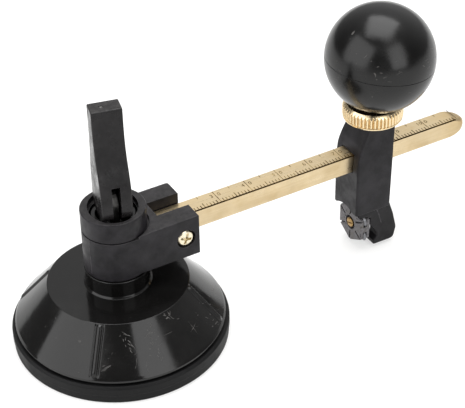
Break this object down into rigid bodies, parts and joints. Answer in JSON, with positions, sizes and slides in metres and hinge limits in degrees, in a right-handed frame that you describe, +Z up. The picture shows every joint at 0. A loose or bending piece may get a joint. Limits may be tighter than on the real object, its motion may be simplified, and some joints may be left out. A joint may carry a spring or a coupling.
{
  "type": "circular glass cutter",
  "caption": "Suction-base circle cutter for glass: lever-locked pad, swivelling arm with a graduated bar, and a sliding head with a wheel turret, lock nut and ball handle.",
  "frame": {"origin": "on the base's axis, at the underside of the rubber suction pad", "axes": "+X along the graduated bar from the suction base to the cutting head, +Y to the left of the bar, +Z up out of the pad"},
  "size_m": [0.1454, 0.0604, 0.0778],
  "materials": {
    "rubber": "matte black moulded rubber, slightly dusty",
    "gloss_black": "glossy black moulded plastic with light scuffs",
    "black_plastic": "dark grey-black moulded plastic with a soft sheen",
    "brass": "bare drawn or turned brass, lightly tarnished",
    "steel": "plain turned steel",
    "die_cast": "rough grey zinc die casting"
  },
  "bodies": {
    "base": {"base_housing": "gloss_black", "hub_cap_ring": "black_plastic", "suction_pad": "rubber", "return_spring": "steel"},
    "lift_rod": {"pull_rod": "steel", "lever_pin": "steel"},
    "lever": {"cam_lever": "black_plastic"},
    "arm": {"arm_bracket": "black_plastic", "graduated_bar": "brass", "bar_clamp_screw": "brass", "bar_clamp_nut": "brass"},
    "head": {"head_body": "black_plastic", "clamp_shoe": "brass"},
    "lock_nut": {"knurled_nut": "brass"},
    "handle": {"ball_upper_half": "gloss_black", "ball_lower_half": "gloss_black", "ball_insert": "brass", "clamp_stud": "steel"},
    "turret": {"turret_body": "die_cast", "turret_screw": "brass", "turret_washer": "steel", "turret_split_washer": "steel", "wheel_axle_1": "steel", "wheel_axle_2": "steel", "wheel_axle_3": "steel", "wheel_axle_4": "steel", "wheel_axle_5": "steel", "wheel_axle_6": "steel"},
    "wheel_1": {"cutting_wheel_1": "steel"},
    "wheel_2": {"cutting_wheel_2": "steel"},
    "wheel_3": {"cutting_wheel_3": "steel"},
    "wheel_4": {"cutting_wheel_4": "steel"},
    "wheel_5": {"cutting_wheel_5": "steel"},
    "wheel_6": {"cutting_wheel_6": "steel"}
  },
  "joints": [
    {"name": "rod_lift", "type": "slide", "parent": "base", "child": "lift_rod", "axis": [0, 0, 1], "range_m": [0, 0.0045], "deforming": ["return_spring"]},
    {"name": "lever_fold", "type": "hinge", "parent": "lift_rod", "child": "lever", "pos_m": [0, 0, 0.0453], "axis": [0.9744, -0.225, 0], "range_deg": [0, 90]},
    {"name": "arm_swivel", "type": "hinge", "parent": "base", "child": "arm", "pos_m": [0, 0, 0.03], "axis": [0, 0, 1], "continuous": true},
    {"name": "head_slide", "type": "slide", "parent": "arm", "child": "head", "axis": [1, 0, 0], "range_m": [-0.045, 0.02]},
    {"name": "lock_nut_turn", "type": "hinge", "parent": "head", "child": "lock_nut", "pos_m": [0.0827, 0, 0.046], "axis": [0, 0, 1], "continuous": true},
    {"name": "handle_turn", "type": "hinge", "parent": "head", "child": "handle", "pos_m": [0.0827, 0, 0.0463], "axis": [0.108, 0, 0.9942], "continuous": true},
    {"name": "turret_index", "type": "hinge", "parent": "head", "child": "turret", "pos_m": [0.0779, 0, 0.008], "axis": [1, 0, 0], "continuous": true},
    {"name": "wheel_1_spin", "type": "hinge", "parent": "turret", "child": "wheel_1", "pos_m": [0.0779, 0, 0.0029], "axis": [1, 0, 0], "continuous": true},
    {"name": "wheel_2_spin", "type": "hinge", "parent": "turret", "child": "wheel_2", "pos_m": [0.0779, 0.00442, 0.00545], "axis": [1, 0, 0], "continuous": true},
    {"name": "wheel_3_spin", "type": "hinge", "parent": "turret", "child": "wheel_3", "pos_m": [0.0779, 0.00442, 0.01055], "axis": [1, 0, 0], "continuous": true},
    {"name": "wheel_4_spin", "type": "hinge", "parent": "turret", "child": "wheel_4", "pos_m": [0.0779, 0, 0.0131], "axis": [1, 0, 0], "continuous": true},
    {"name": "wheel_5_spin", "type": "hinge", "parent": "turret", "child": "wheel_5", "pos_m": [0.0779, -0.00442, 0.01055], "axis": [1, 0, 0], "continuous": true},
    {"name": "wheel_6_spin", "type": "hinge", "parent": "turret", "child": "wheel_6", "pos_m": [0.0779, -0.00442, 0.00545], "axis": [1, 0, 0], "continuous": true}
  ],
  "couplings": [
    {"joint": "lever_fold", "follows": "rod_lift", "rad_per_m": 349}
  ]
}
